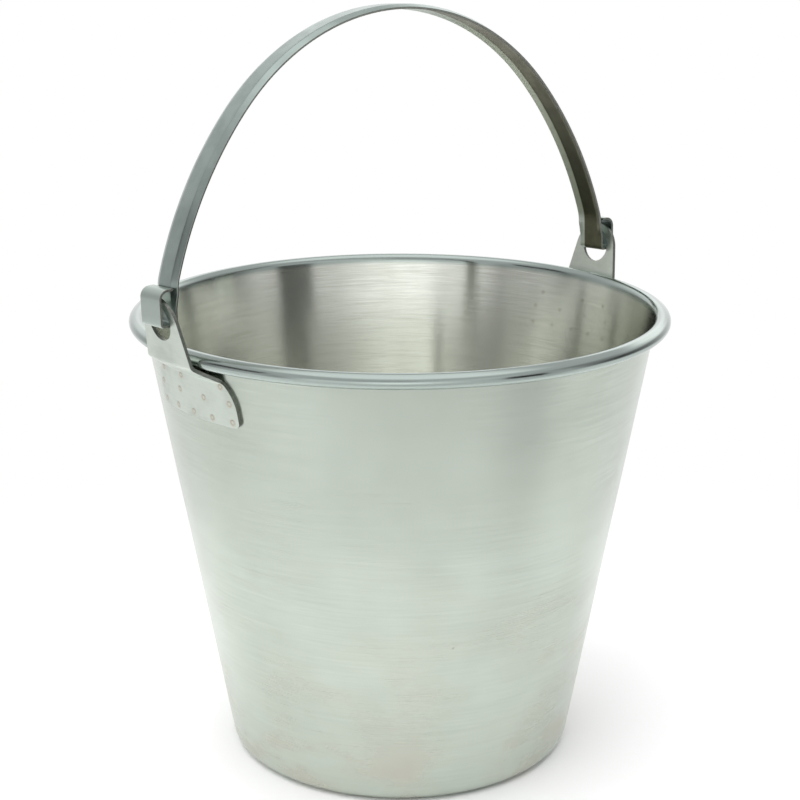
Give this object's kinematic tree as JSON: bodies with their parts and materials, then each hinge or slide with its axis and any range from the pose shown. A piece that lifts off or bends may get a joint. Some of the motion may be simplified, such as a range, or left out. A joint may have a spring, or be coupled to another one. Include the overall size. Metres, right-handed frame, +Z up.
{
  "type": "milk pail",
  "caption": "Tapered stainless milk pail with a rolled rim, spot-welded ears and a swinging strip bail hooked through them.",
  "frame": {"origin": "centre of the resting face under the pail", "axes": "+Z up along the pail's axis; the two ears stand on the X axis and the bail's hinge line runs along X"},
  "size_m": [0.345, 0.32, 0.4479],
  "materials": {
    "pail_steel": "brushed",
    "ear_steel": "satin",
    "weld_steel": "satin",
    "bail_steel": "satin"
  },
  "bodies": {
    "pail": {"pail_body": "pail_steel", "left_ear": "ear_steel", "right_ear": "ear_steel", "left_ear_welds": "weld_steel", "right_ear_welds": "weld_steel"},
    "bail": {"bail_handle": "bail_steel"}
  },
  "joints": [
    {"name": "bail_swing", "type": "hinge", "parent": "pail", "child": "bail", "pos_m": [0, 0, 0.288], "axis": [1, 0, 0], "range_deg": [-81.35, 86.65]}
  ]
}
